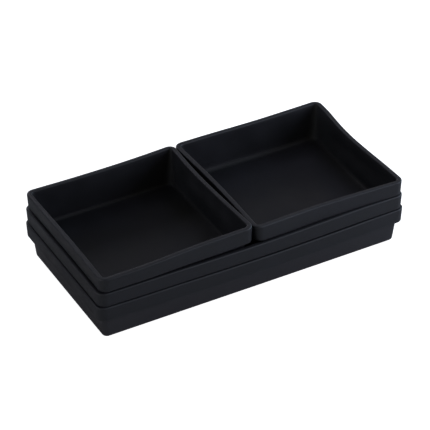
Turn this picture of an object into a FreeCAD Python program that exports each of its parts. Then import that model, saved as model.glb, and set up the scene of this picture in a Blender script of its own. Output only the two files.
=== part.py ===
import FreeCAD, Part
import os

os.makedirs("parts", exist_ok=True)

# A set of four black stacking trays for a drawer or a shelf: two long trays nest
# in each other, and two square trays stand side by side in the upper long one.
# Each tray is one moulding: a thin tapered bowl whose rim turns out and down into
# a skirt. The skirt of a nested tray stands on the rim of the tray below it.
# Millimetres. +X runs along the long trays, +Z is up, and the origin is the
# centre of the lowest tray's flat underside.

# driving dimensions
LONG_LENGTH = 300.0      # over the rim of a long tray, along X
SQUARE_LENGTH = 148.0    # over the rim of a square tray, along X
TRAY_DEPTH = 148.0       # over the rim of every tray, along Y
TRAY_HEIGHT = 36.0       # underside to the top of the rim
STACK_STEP = 14.6        # rise from one nested tray to the next
SQUARE_GAP = 1.2         # between the rims of the two square trays

# rim and skirt
SKIRT_HEIGHT = 14.0      # top of the rim down to the skirt's lower edge
SKIRT_WALL = 1.2
SKIRT_TAPER = 0.6        # how far the skirt's lower edge sits inside the rim
RIM_THICKNESS = 1.3      # of the flat flange that joins skirt and bowl
RIM_CORNER = 7.5         # radius of the rim's corners, seen from above
RIM_OUTER_ROUND = 0.8
RIM_INNER_ROUND = 0.7
SKIRT_EDGE_ROUND = 0.3

# bowl
BOWL_WALL = 0.9          # measured level, through the tapered side
FLOOR_THICKNESS = 1.0
BOWL_TOP_INSET = 3.5     # from the rim's outer edge to the bowl's outside, at the top
BOWL_TAPER = 3.0         # how much further in the bowl's outside is at its underside
BOWL_CORNER = 5.5        # radius of the bowl's outer corners, at every height
BASE_ROUND = 1.8         # outside, where the sides meet the underside
FLOOR_ROUND = 1.4        # inside, where the sides meet the floor

CUT_MARGIN = 2.0         # how far a cutting solid runs past the face it cuts


def tapered_block(length, low, high, corner):
    """Solid with sloping sides and round corners; low and high are (inset, z)."""
    low_inset, low_z = low
    high_inset, high_z = high
    low_x = length / 2 - low_inset
    low_y = TRAY_DEPTH / 2 - low_inset
    high_x = length / 2 - high_inset
    high_y = TRAY_DEPTH / 2 - high_inset
    # makeWedge tapers along Y, so the block is turned up onto Z
    block = Part.makeWedge(-low_x, low_z, -low_y, -high_y, -high_x, low_x, high_z, low_y, high_y, high_x)
    block.rotate(FreeCAD.Vector(0, 0, 0), FreeCAD.Vector(1, 0, 0), 90)
    uprights = [edge for edge in block.Edges if edge.BoundBox.ZLength > 1]
    return block.makeFillet(corner, uprights)


def level_edges(shape, z):
    """Every edge of the shape that lies in the plane at height z."""
    found = []
    for edge in shape.Edges:
        heights = [point.z for point in edge.discretize(5)]
        if max(abs(height - z) for height in heights) < 1e-6:
            found.append(edge)
    return found


def bowl_inset(z):
    """Inset of the bowl's outside from the rim's outer edge, at height z."""
    return BOWL_TOP_INSET + BOWL_TAPER * (1 - z / TRAY_HEIGHT)


def bowl_outside(length):
    block = tapered_block(length, (bowl_inset(0), 0), (bowl_inset(TRAY_HEIGHT), TRAY_HEIGHT), BOWL_CORNER)
    return block.makeFillet(BASE_ROUND, level_edges(block, 0))


def bowl_cavity(length):
    """What the bowl holds, run on past the rim so that it cuts the mouth open."""
    top = TRAY_HEIGHT + CUT_MARGIN
    low = (bowl_inset(FLOOR_THICKNESS) + BOWL_WALL, FLOOR_THICKNESS)
    high = (bowl_inset(top) + BOWL_WALL, top)
    block = tapered_block(length, low, high, BOWL_CORNER - BOWL_WALL)
    return block.makeFillet(FLOOR_ROUND, level_edges(block, FLOOR_THICKNESS))


def rim_and_skirt(length):
    """Solid cap over the top of the bowl, hollowed from below up to the flange."""
    foot = TRAY_HEIGHT - SKIRT_HEIGHT
    block = tapered_block(length, (SKIRT_TAPER, foot), (0, TRAY_HEIGHT), RIM_CORNER)
    block = block.makeFillet(RIM_OUTER_ROUND, level_edges(block, TRAY_HEIGHT))
    block = block.makeFillet(SKIRT_EDGE_ROUND, level_edges(block, foot))
    taper_rate = SKIRT_TAPER / SKIRT_HEIGHT
    low = (SKIRT_WALL + SKIRT_TAPER + taper_rate * CUT_MARGIN, foot - CUT_MARGIN)
    high = (SKIRT_WALL + taper_rate * RIM_THICKNESS, TRAY_HEIGHT - RIM_THICKNESS)
    hollow = tapered_block(length, low, high, RIM_CORNER - SKIRT_WALL)
    return block.cut(hollow)


def mouth_edges(shape, length):
    """The edges where the top of the rim meets the inside of the bowl."""
    found = []
    for edge in level_edges(shape, TRAY_HEIGHT):
        middle = edge.valueAt((edge.FirstParameter + edge.LastParameter) / 2)
        inside_x = abs(middle.x) < length / 2 - BOWL_TOP_INSET
        inside_y = abs(middle.y) < TRAY_DEPTH / 2 - BOWL_TOP_INSET
        if inside_x and inside_y:
            found.append(edge)
    return found


def tray(length):
    """One moulded tray, standing on its underside at the origin."""
    body = bowl_outside(length).fuse(rim_and_skirt(length))
    body = body.cut(bowl_cavity(length)).removeSplitter()
    body = body.makeFillet(RIM_INNER_ROUND, mouth_edges(body, length))
    return body.Solids[0]


def placed(shape, x, z):
    copy = shape.copy()
    copy.translate(FreeCAD.Vector(x, 0, z))
    return copy


long_tray = tray(LONG_LENGTH)
square_tray = tray(SQUARE_LENGTH)
square_offset = (SQUARE_LENGTH + SQUARE_GAP) / 2

nodes = {
    "long_tray_bottom": long_tray,
    "long_tray_middle": placed(long_tray, 0, STACK_STEP),
    "square_tray_left": placed(square_tray, -square_offset, 2 * STACK_STEP),
    "square_tray_right": placed(square_tray, square_offset, 2 * STACK_STEP),
}

for name, shape in nodes.items():
    print(name, shape.ShapeType, "valid", shape.isValid(), "cm3", round(shape.Volume / 1000, 2))
    shape.exportStep("parts/" + name + ".step")
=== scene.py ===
import math
import bpy
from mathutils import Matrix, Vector


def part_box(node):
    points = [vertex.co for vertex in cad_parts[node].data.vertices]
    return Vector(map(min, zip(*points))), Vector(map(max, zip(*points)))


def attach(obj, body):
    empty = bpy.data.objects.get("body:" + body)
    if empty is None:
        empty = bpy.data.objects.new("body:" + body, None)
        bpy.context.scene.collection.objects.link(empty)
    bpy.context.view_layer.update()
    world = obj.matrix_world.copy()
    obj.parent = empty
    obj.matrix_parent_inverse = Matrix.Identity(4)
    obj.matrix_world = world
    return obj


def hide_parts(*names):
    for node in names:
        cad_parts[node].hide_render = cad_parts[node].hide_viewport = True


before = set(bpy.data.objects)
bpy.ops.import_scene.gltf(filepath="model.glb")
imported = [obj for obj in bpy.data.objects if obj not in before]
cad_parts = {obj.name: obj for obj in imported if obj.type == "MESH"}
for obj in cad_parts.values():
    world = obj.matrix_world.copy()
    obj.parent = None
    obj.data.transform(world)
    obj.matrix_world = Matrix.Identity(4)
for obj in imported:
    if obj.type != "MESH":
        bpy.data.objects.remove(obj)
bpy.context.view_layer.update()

mm = 0.001

# Four matt black trays, thin injection mouldings that nest in each other. Each is one sheet drawn
# from its rim, bowed where the moulding has sprung, and then thickened.
trayShape = {
    "wall": 0.9 * mm,            # even all over, as a moulding has
    "rimWidth": 4.4 * mm,        # flat top of the rim
    "rimCorner": 7.5 * mm,       # seen from above
    "cornerSteps": 8,
    "bowlTaper": 3.0 * mm,       # each side, from the rim down to the floor
    "skirtHeight": 13.6 * mm,
    "skirtTaper": 0.6 * mm,
    "mouthRound": 1.0 * mm,
    "rimRound": 1.2 * mm,
    "floorRound": 1.7 * mm,
    "floorCorner": 4 * mm,       # the bowl's corners at the floor
    "roundSteps": 4,
    "footRound": 0.12 * mm,      # lower edge of the skirt
    "footSteps": 2,
    "sharp": 60,                 # degrees, past which an edge is rounded like the skirt's
    "smooth": 35,                # degrees, up to which the shading runs on
    "cells": (9 * mm, 9 * mm, 4 * mm),    # spacing of the cuts that let the walls bow
    "weld": 0.02 * mm,           # points nearer than this count as one
}


def startFresh():
    if bpy.context.mode != "OBJECT":
        bpy.ops.object.mode_set(mode="OBJECT")
    bpy.ops.object.select_all(action="DESELECT")


def selectEdges(piece, test):
    bpy.ops.mesh.select_mode(type="EDGE")
    bpy.ops.mesh.select_all(action="DESELECT")
    bpy.ops.object.mode_set(mode="OBJECT")
    points = piece.data.vertices
    for edge in piece.data.edges:
        edge.select = all(test(points[index].co) for index in edge.vertices)
    bpy.ops.object.mode_set(mode="EDIT")


def applyModifier(piece, kind, **settings):
    modifier = piece.modifiers.new(kind.title(), kind)
    for setting, value in settings.items():
        setattr(modifier, setting, value)
    bpy.ops.object.modifier_apply(modifier=modifier.name)


def drawTraySheet(name, low, high, shape):
    # the face that you see from above: skirt, rim, inside of the bowl and its floor
    centre = (low + high) / 2
    size = high - low
    top = high.z
    floor = low.z + shape["wall"]
    bpy.ops.mesh.primitive_plane_add(size=1, location=(centre.x, centre.y, top))
    tray = bpy.context.object
    tray.name = name
    bpy.ops.object.transform_apply(location=True)
    bpy.ops.object.mode_set(mode="EDIT")
    bpy.ops.mesh.select_all(action="SELECT")
    middle = (centre.x, centre.y, top)
    bpy.ops.transform.resize(value=(size.x, size.y, 1), center_override=middle)
    bpy.ops.mesh.bevel(affect="VERTICES", offset=shape["rimCorner"], segments=shape["cornerSteps"])
    bpy.ops.mesh.select_all(action="SELECT")
    bpy.ops.mesh.inset(thickness=shape["rimWidth"])
    bpy.ops.mesh.extrude_region_move(TRANSFORM_OT_translate={"value": (0, 0, floor - top)})
    draw = [1 - 2 * shape["bowlTaper"] / (side - 2 * shape["rimWidth"]) for side in (size.x, size.y)]
    bpy.ops.transform.resize(value=(draw[0], draw[1], 1), center_override=middle)
    widenFloorCorners(tray, centre, floor, shape)
    # skirt, from the rim's outer edge
    bpy.ops.mesh.select_mode(type="EDGE")
    bpy.ops.mesh.select_all(action="DESELECT")
    bpy.ops.mesh.select_non_manifold(extend=False, use_wire=False, use_multi_face=False,
                                     use_non_contiguous=False, use_verts=False)
    bpy.ops.mesh.extrude_edges_move(TRANSFORM_OT_translate={"value": (0, 0, -shape["skirtHeight"])})
    draw = [1 - 2 * shape["skirtTaper"] / side for side in (size.x, size.y)]
    bpy.ops.transform.resize(value=(draw[0], draw[1], 1), center_override=middle)
    # bends, rounded one after the other

    def isAt(point, height):
        return abs(point.z - height) < shape["weld"]

    def outside(point):
        # nearer the tray's outline than the mouth of the bowl
        x = abs(point.x - centre.x) - size.x / 2 + shape["rimCorner"]
        y = abs(point.y - centre.y) - size.y / 2 + shape["rimCorner"]
        depth = shape["rimCorner"] - math.hypot(max(x, 0), max(y, 0)) - min(max(x, y), 0)
        return depth < shape["rimWidth"] / 2

    selectEdges(tray, lambda point: isAt(point, floor))
    bpy.ops.mesh.bevel(offset=shape["floorRound"], segments=shape["roundSteps"])
    selectEdges(tray, lambda point: isAt(point, top) and not outside(point))
    bpy.ops.mesh.bevel(offset=shape["mouthRound"], segments=shape["roundSteps"])
    selectEdges(tray, lambda point: isAt(point, top) and outside(point))
    bpy.ops.mesh.bevel(offset=shape["rimRound"], segments=shape["roundSteps"])
    cutIntoCells(low, high, shape["cells"])
    bpy.ops.mesh.select_all(action="SELECT")
    bpy.ops.mesh.remove_doubles(threshold=shape["weld"])
    bpy.ops.object.mode_set(mode="OBJECT")
    return tray


def widenFloorCorners(tray, centre, floor, shape):
    # growing a corner's arc about its sharp corner gives a wider arc that still meets both sides
    bpy.ops.object.mode_set(mode="OBJECT")
    half = [max(abs(point.co[axis] - centre[axis]) for point in tray.data.vertices
                if abs(point.co.z - floor) < shape["wall"] / 2) for axis in (0, 1)]
    drawn = shape["rimCorner"] - shape["rimWidth"]
    justOver = 1.1
    for signX in (-1, 1):
        for signY in (-1, 1):
            corner = Vector((centre.x + signX * half[0], centre.y + signY * half[1], floor))
            for group in (tray.data.edges, tray.data.polygons):
                for member in group:
                    member.select = False
            for point in tray.data.vertices:
                point.select = (point.co - corner).length < drawn * justOver
            bpy.ops.object.mode_set(mode="EDIT")
            bpy.ops.mesh.select_mode(type="VERT")
            grow = shape["floorCorner"] / drawn
            bpy.ops.transform.resize(value=(grow, grow, 1), center_override=corner)
            bpy.ops.object.mode_set(mode="OBJECT")
    bpy.ops.object.mode_set(mode="EDIT")


def cutIntoCells(low, high, cells):
    for axis in range(3):
        normal = [0, 0, 0]
        normal[axis] = 1
        span = high[axis] - low[axis]
        count = round(span / cells[axis])
        for step in range(1, count):
            place = (low + high) / 2
            place[axis] = low[axis] + span * step / count
            bpy.ops.mesh.select_all(action="SELECT")
            bpy.ops.mesh.bisect(plane_co=place, plane_no=normal)


bowCage = {
    "rows": 7,                   # of cage points, up the tray
    "reach": (1, 0.6, 0),        # share of a wall's move in its own column, the next and all others
    "dropFull": 0.5,             # share of the height from which the skirt drops fully
    "dropFades": 0.6,            # and from which the drop fades out towards the rim
}


def bowTray(tray, low, high, bow):
    # a cage round the tray moves its walls, mostly inwards, and more at the rim than at the floor
    size = high - low
    bpy.ops.object.add(type="LATTICE", location=(low + high) / 2)
    cage = bpy.context.object
    cage.scale = size
    across, deep, tall = len(bow["front"]), len(bow["left"]), bowCage["rows"]
    cage.data.points_u, cage.data.points_v, cage.data.points_w = across, deep, tall
    for index, point in enumerate(cage.data.points):
        u = index % across
        v = index // across % deep
        height = index // (across * deep) / (tall - 1)
        fromLeft = wallPull(bow, "left", u, v / (deep - 1), height)
        fromRight = wallPull(bow, "right", across - 1 - u, v / (deep - 1), height)
        fromFront = wallPull(bow, "front", v, u / (across - 1), height)
        fromBack = wallPull(bow, "back", deep - 1 - v, u / (across - 1), height)
        toBack = v / (deep - 1)
        rise = bow["frontLift"][u] * (1 - toBack) + bow["backLift"][u] * toBack
        rise *= min(height / bow["fullLift"], 1) if bow["fullLift"] else 1
        dropGrows = min(height / bowCage["dropFull"], 1)
        dropFades = min((1 - height) / (1 - bowCage["dropFades"]), 1)
        rise -= bow["skirtDrop"][u] * dropGrows * dropFades
        shift = Vector((fromLeft - fromRight, fromFront - fromBack, rise)) * mm
        point.co_deform = point.co + Vector(move / side for move, side in zip(shift, size))
    bpy.context.view_layer.objects.active = tray
    applyModifier(tray, "LATTICE", object=cage)
    bpy.data.objects.remove(cage)


def wallPull(bow, wall, column, along, height):
    # inward move in mm of a cage point, from its column inside the wall and its share along and up it
    reach = bowCage["reach"][min(column, len(bowCage["reach"]) - 1)]
    rim = bow[wall][round(along * (len(bow[wall]) - 1))]
    depth, waves, tilt, phase = bow["ripple"].get(wall, (0, 0, 0, 0))
    ripple = depth * math.sin(2 * math.pi * (waves * height + tilt * along + phase))
    ripple *= math.sin(math.pi * along) * math.sin(math.pi * height)     # none at the wall's edges
    return reach * (rim * height - bow["floorSpread"] * (1 - height) + ripple)


def thickenTray(tray, shape):
    bpy.context.view_layer.objects.active = tray
    tray.select_set(True)
    applyModifier(tray, "SOLIDIFY", thickness=shape["wall"], offset=-1, use_even_offset=True)
    applyModifier(tray, "BEVEL", width=shape["footRound"], segments=shape["footSteps"],
                  limit_method="ANGLE", angle_limit=math.radians(shape["sharp"]))
    bpy.ops.object.shade_smooth_by_angle(angle=math.radians(shape["smooth"]))


# How each tray has sprung, in mm at even steps: the left and right walls from front to back, the rest
# from left to right. A wall's numbers are how far in its rim has moved, and a lift is how far it has
# risen, fully from the share fullLift of the height up (at 0 the whole tray has). skirtDrop is how far
# the skirt's lower edge hangs, floorSpread how far out the walls stand at the floor. A ripple is its
# depth, its waves up the wall, its tilt along it and its phase. shape is what differs from trayShape.
straight = [0] * 9
straightLong = [0] * 13
trayBows = {
    "square_tray_right": {
        "left": [-2.7, -2.1, -1.4, -0.9, -0.7, -0.9, -1.5, -2.3, -3.3],
        "right": [0, 0.4, 1.4, 2.6, 3.4, 3.2, 1.5, -1.2, -1.0],
        "front": [1.5, 2.2, 3.2, 4.0, 3.8, 3.0, 2.2, 1.2, 0],
        "back": [-0.6, 0, 0, 0.2, 0.3, 0.2, 0, 0, -0.5],
        "frontLift": [0.3, 0.2, 0.1, 0, 0, 0, 0, 0, 0],
        "backLift": [1.5, 1.8, 1.8, 1.5, 1.2, 1.1, 1.3, 1.6, 1.8],
        "skirtDrop": [1.3, 1.6, 2.0, 1.5, 0.8, 0.3, 0, 0, 0.3],
        "fullLift": 0,
        "floorSpread": 0,
        "ripple": {"right": (3.0, 1.1, 0.45, -0.05)},
        "shape": {"floorRound": 4.5 * mm, "floorCorner": 10 * mm},
    },
    "square_tray_left": {
        "left": [0, 0.3, 0.7, 0.9, 0.9, 0.7, 0.5, 0.2, 0],
        "right": [1.7, 2.3, 3.2, 4.0, 4.5, 4.5, 4.0, 2.6, 1.0],
        "front": [-1.0, -1.2, -1.2, -0.8, 0.2, 1.0, 1.2, 1.0, 0.6],
        "back": [0, 0.3, 0.9, 1.0, 0.8, 0.7, 0.5, 0.2, -0.4],
        "frontLift": [-0.2, 0, 0.2, 0.9, 1.5, 2.1, 2.5, 3.0, 3.5],
        "backLift": [0, 0, 0, 0, 0, 0.2, 0.6, 1.2, 1.8],
        "skirtDrop": [-0.8, -0.8, -0.2, 0.4, 1.0, 1.7, 2.1, 2.0, 1.7],
        "fullLift": 0,
        "floorSpread": 0,
        "ripple": {"right": (1.4, 1.8, 0.3, 0.1)},
        "shape": {"floorRound": 3.0 * mm, "floorCorner": 9 * mm},
    },
    "long_tray_middle": {
        "left": straight, "right": [0.7] * 9, "front": straightLong, "back": straightLong,
        "frontLift": [-0.4, -0.8, -1.0, -1.3, -1.8, -2.1, -2.1, -1.9, -1.2, -0.5, 0.4, 0.5, -0.1],
        "backLift": straightLong,
        "skirtDrop": [-0.5, -0.4, -0.2, -0.3, -0.2, -0.2, -0.1, 0.1, 0.5, 0.7, 0.9, 0.5, -0.2],
        "fullLift": 0.5,
        "floorSpread": 0,
        "ripple": {},
        "shape": {},
    },
    "long_tray_bottom": {
        "left": [-0.9] * 9, "right": [-0.7] * 9, "front": straightLong, "back": straightLong,
        "frontLift": [-0.1, -0.8, -1.3, -1.4, -2.0, -2.4, -2.6, -2.6, -2.3, -1.8, -1.1, -0.4, 0],
        "backLift": straightLong,
        "skirtDrop": straightLong,
        "fullLift": 0.6,
        "floorSpread": 0.8,
        "ripple": {},
        "shape": {},
    },
}

trays = {}
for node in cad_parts:
    startFresh()
    low, high = (Vector(corner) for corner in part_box(node))
    tray = drawTraySheet(node + "_moulding", low, high, {**trayShape, **trayBows[node]["shape"]})
    bowTray(tray, low, high, trayBows[node])
    thickenTray(tray, trayShape)
    trays[node] = tray
    print("tray", tray.name, len(tray.data.vertices), "points")


def linearColour(hexCode):
    channels = [int(hexCode[i:i + 2], 16) / 255 for i in (0, 2, 4)]
    linear = [c / 12.92 if c <= 0.04045 else ((c + 0.055) / 1.055) ** 2.4 for c in channels]
    return (*linear, 1)


def addNode(tree, kind, settings=None, links=None):
    node = tree.nodes.new(kind)
    for key, value in (settings or {}).items():
        if isinstance(key, int) or key in node.inputs:
            node.inputs[key].default_value = value
        else:
            setattr(node, key, value)
    for key, source in (links or {}).items():
        tree.links.new(source, node.inputs[key])
    return node


blackPolypropylene = {
    "name": "black polypropylene, moulded, spark-eroded finish",
    "colour": "1B1C20",
    "colourWorn": "212227",      # where stacking has rubbed the surface paler
    "wornNoise": (0.4, 0.8),     # value of the patches' noise at which that starts and is full
    # painted highlight on the upper edges of the rims
    "colourEdgeHighlight": "4C4D53",
    "edge": (0.51, 0.58),        # pointiness at which the painted highlight starts and is full
    "colourCoveShade": "0E0E11",      # painted shade in the inner corners
    "cove": (0.495, 0.46),       # pointiness at which the painted shade and the dullness start and are full
    "coveRoughness": 0.8,
    "roughness": (0.45, 0.56),
    "sheenNoise": (0.35, 0.65),  # value of the noise at which it is smoothest and roughest
    "ior": 1.49,
    "specular": 0.4,
    "patch": 26 * mm,            # size of the uneven sheen that the cooling mould leaves
    "grain": 0.45 * mm,          # spark-eroded texture of the mould
    "grainDepth": 0.015 * mm,
    "flow": (34 * mm, 3.5 * mm, 3.5 * mm),    # streaks where the melt ran along the tray
    "flowDepth": 0.03 * mm,
    "floorLight": None,               # heights of the painted floor light, given below for the lowest tray
}
floorLitPolypropylene = {
    **blackPolypropylene,
    "name": "black polypropylene, moulded, scuffed at the foot",
    "floorLight": (16 * mm, 20.5 * mm),    # full below the first height and gone above the second
    "colourFloorLit": "2B2A2E",     # painted light: outer walls paler near the bright floor
    "outward": -0.02,            # they lean out, so they face down at least this much
}


def makeBlackPolypropylene(settings):
    # filled black polypropylene, injection moulded: satin, nearly neutral, faintly blue
    material = bpy.data.materials.new(settings["name"])
    material.use_nodes = True
    tree = material.node_tree
    shader = tree.nodes["Principled BSDF"]
    shader.inputs["Specular IOR Level"].default_value = settings["specular"]
    shader.inputs["IOR"].default_value = settings["ior"]
    where = addNode(tree, "ShaderNodeTexCoord").outputs["Object"]
    patch = addNode(tree, "ShaderNodeTexNoise",
                    {"Scale": 1 / settings["patch"], "Detail": 3, "Roughness": 0.5}, {"Vector": where})
    # uneven sheen and wear, so that no wall is one flat tone
    smooth, rough = settings["roughness"]
    sheen = addNode(tree, "ShaderNodeMapRange",
                    {"From Min": settings["sheenNoise"][0], "From Max": settings["sheenNoise"][1],
                     "To Min": smooth, "To Max": rough},
                    {"Value": patch.outputs[0]})
    tone = addNode(tree, "ShaderNodeValToRGB", links={0: patch.outputs[0]})
    for stop, place, colour in zip(tone.color_ramp.elements, settings["wornNoise"], ("colour", "colourWorn")):
        stop.position = place
        stop.color = linearColour(settings[colour])
    surface = addNode(tree, "ShaderNodeNewGeometry")
    facing = addNode(tree, "ShaderNodeSeparateXYZ", links={"Vector": surface.outputs["Normal"]})
    base = tone.outputs["Color"]
    # painted floor light at the foot, and painted shade under the skirt
    if settings["floorLight"]:
        base = paintFloorLight(tree, settings, base, where, facing.outputs["Z"])
    # inner corners, darker as painted shade, and duller
    coveShadeAndDull = addNode(tree, "ShaderNodeMapRange",
                    {"From Min": settings["cove"][0], "From Max": settings["cove"][1]},
                    {"Value": surface.outputs["Pointiness"]})
    coveShaded = addNode(tree, "ShaderNodeMix", {"data_type": "RGBA", 7: linearColour(settings["colourCoveShade"])},
                       {0: coveShadeAndDull.outputs["Result"], 6: base})
    dull = addNode(tree, "ShaderNodeMix", {"data_type": "FLOAT", 3: settings["coveRoughness"]},
                   {0: coveShadeAndDull.outputs["Result"], 2: sheen.outputs["Result"]})
    tree.links.new(dull.outputs[0], shader.inputs["Roughness"])
    # painted highlight: upper edges drawn pale, which draws the thin light lines along the rims
    edges = addNode(tree, "ShaderNodeMapRange",
                    {"From Min": settings["edge"][0], "From Max": settings["edge"][1]},
                    {"Value": surface.outputs["Pointiness"]})
    paintedHighlight = addNode(tree, "ShaderNodeMath", {"operation": "MULTIPLY", "use_clamp": True},
                    {0: edges.outputs["Result"], 1: facing.outputs["Z"]})
    edgeHighlighted = addNode(tree, "ShaderNodeMix", {"data_type": "RGBA", 7: linearColour(settings["colourEdgeHighlight"])},
                     {0: paintedHighlight.outputs[0], 6: coveShaded.outputs[2]})
    tree.links.new(edgeHighlighted.outputs[2], shader.inputs["Base Color"])
    # streaks, which bend the reflections a little along the walls
    along = addNode(tree, "ShaderNodeMapping",
                    {"Scale": tuple(1 / side for side in settings["flow"])}, {"Vector": where})
    streaks = addNode(tree, "ShaderNodeTexNoise", {"Scale": 1, "Detail": 1}, {"Vector": along.outputs[0]})
    waves = addNode(tree, "ShaderNodeBump", {"Strength": 1, "Distance": settings["flowDepth"]},
                    {"Height": streaks.outputs[0]})
    # grain, which breaks up the highlights on the rims
    pits = addNode(tree, "ShaderNodeTexNoise", {"Scale": 1 / settings["grain"], "Detail": 2},
                   {"Vector": where})
    grain = addNode(tree, "ShaderNodeBump", {"Strength": 1, "Distance": settings["grainDepth"]},
                    {"Height": pits.outputs[0], "Normal": waves.outputs[0]})
    tree.links.new(grain.outputs[0], shader.inputs["Normal"])
    return material


def paintFloorLight(tree, settings, colour, where, facingUp):
    # painted light and shade: outer walls that face down are paler near the bright floor, as if lit by it,
    # and stay darker under the skirt as painted shade
    full, gone = settings["floorLight"]
    height = addNode(tree, "ShaderNodeSeparateXYZ", links={"Vector": where})
    low = addNode(tree, "ShaderNodeMapRange",
                  {"From Min": full, "From Max": gone, "To Min": 1, "To Max": 0},
                  {"Value": height.outputs["Z"]})
    outer = addNode(tree, "ShaderNodeMath", {"operation": "LESS_THAN", 1: settings["outward"]},
                    {0: facingUp})
    foot = addNode(tree, "ShaderNodeMath", {"operation": "MULTIPLY"},
                   {0: low.outputs["Result"], 1: outer.outputs[0]})
    floorLitColour = addNode(tree, "ShaderNodeMix", {"data_type": "RGBA", 7: linearColour(settings["colourFloorLit"])},
                      {0: foot.outputs[0], 6: colour})
    return floorLitColour.outputs[2]


plastic = makeBlackPolypropylene(blackPolypropylene)
# the same plastic with painted floor light and shade at the foot, for the lowest tray
floorLitPlastic = makeBlackPolypropylene(floorLitPolypropylene)
for node, tray in trays.items():
    tray.data.materials.clear()
    tray.data.materials.append(floorLitPlastic if node == "long_tray_bottom" else plastic)
    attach(tray, node)
    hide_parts(node)
print("plastic")

# floor, light and camera
studio = {
    "floorSize": 6,
    "floorDrop": 0.02 * mm,      # keeps the paper clear of the underside that rests on it
    "floorWhite": "F4F4F4",      # as the camera sees it
    "floorGlow": 0.95,           # lifts the paper to white, and leaves a trace of contact shadow
    "floorGrey": "EDEDED",       # as the trays see it
    # large soft lamps well away from the trays: azimuth and elevation in degrees, power, colour
    "far": {"distance": 1.6, "size": 1.0, "aimX": 0, "lamps": [
        (45, 18, 9.7, "E4E9FF"),      # front right, the main one
        (90, 18, 8.1, "CCECFF"),      # right
        (135, 18, 1.1, "FFF4E2"),     # back right
        (180, 18, 5.4, "EEEEFF"),     # back
        (270, 18, 5.8, "F8FBFF"),     # left
        (315, 18, 0.42, "FFF9B3"),    # front left
        (180, 50, 0.47, "FFFDEF"),    # back, higher up
        (270, 50, 0.34, "B3B3FF"),    # left, higher up
    ]},
    # small ones close over the right tray, which brighten its floor and its inner walls
    "near": {"distance": 0.55, "size": 0.3, "aimX": 75 * mm, "lamps": [
        (0, 55, 0.13, "FFF2DA"),      # front
        (45, 55, 0.24, "ECF1FF"),     # front right
        (135, 55, 0.15, "DDDFFF"),    # back right
    ]},
}


def lookBack(azimuth, elevation):
    # unit vector from the trays towards a lamp or a camera; azimuth 0 looks along +Y
    turn = math.radians(azimuth)
    rise = math.radians(elevation)
    return Vector((math.sin(turn) * math.cos(rise), -math.cos(turn) * math.cos(rise), math.sin(rise)))


def makePaper(settings):
    material = bpy.data.materials.new("white paper, matt")
    material.use_nodes = True
    tree = material.node_tree
    tree.nodes.clear()
    white = addNode(tree, "ShaderNodeBsdfDiffuse", {"Color": linearColour(settings["floorWhite"])})
    glow = addNode(tree, "ShaderNodeEmission", {"Strength": settings["floorGlow"]})
    seen = addNode(tree, "ShaderNodeAddShader", links={0: white.outputs[0], 1: glow.outputs[0]})
    grey = addNode(tree, "ShaderNodeBsdfDiffuse", {"Color": linearColour(settings["floorGrey"])})
    ray = addNode(tree, "ShaderNodeLightPath")
    either = addNode(tree, "ShaderNodeMixShader",
                     links={0: ray.outputs["Is Camera Ray"], 1: grey.outputs[0], 2: seen.outputs[0]})
    addNode(tree, "ShaderNodeOutputMaterial", links={"Surface": either.outputs[0]})
    return material


def addLamps(group):
    for azimuth, elevation, power, colour in group["lamps"]:
        back = lookBack(azimuth, elevation)
        place = back * group["distance"] + Vector((group["aimX"], 0, 0))
        bpy.ops.object.light_add(type="AREA", location=place)
        lamp = bpy.context.object
        lamp.data.shape = "DISK"
        lamp.data.size = group["size"]
        lamp.data.energy = power
        lamp.data.color = linearColour(colour)[:3]
        lamp.rotation_mode = "QUATERNION"
        lamp.rotation_quaternion = (-back).to_track_quat("-Z", "Y")


def makeStudio(settings):
    startFresh()
    bpy.ops.mesh.primitive_plane_add(size=settings["floorSize"], location=(0, 0, -settings["floorDrop"]))
    floorPlane = bpy.context.object
    floorPlane.name = "studio_floor"
    floorPlane.data.materials.append(makePaper(settings))
    addLamps(settings["far"])
    addLamps(settings["near"])
    world = bpy.data.worlds.new("studio")
    world.use_nodes = True
    world.node_tree.nodes["Background"].inputs["Strength"].default_value = 0    # lamps alone give light
    bpy.context.scene.world = world
    bpy.context.scene.view_settings.view_transform = "Standard"


makeStudio(studio)
print("studio")

cameraPlace = {
    "azimuth": -29.2,            # degrees, 0 looks along +Y
    "elevation": 35.45,
    "distance": 1.8624,          # m
    "target": (-0.24 * mm, 0, 34.6 * mm),
    "lens": 177.88,              # mm
}


def placeCamera(settings):
    back = lookBack(settings["azimuth"], settings["elevation"])
    place = Vector(settings["target"]) + back * settings["distance"]
    bpy.ops.object.camera_add(location=place)
    camera = bpy.context.object
    camera.rotation_mode = "QUATERNION"
    camera.rotation_quaternion = (-back).to_track_quat("-Z", "Y")
    camera.data.lens = settings["lens"]
    bpy.context.scene.camera = camera


placeCamera(cameraPlace)
print("camera")
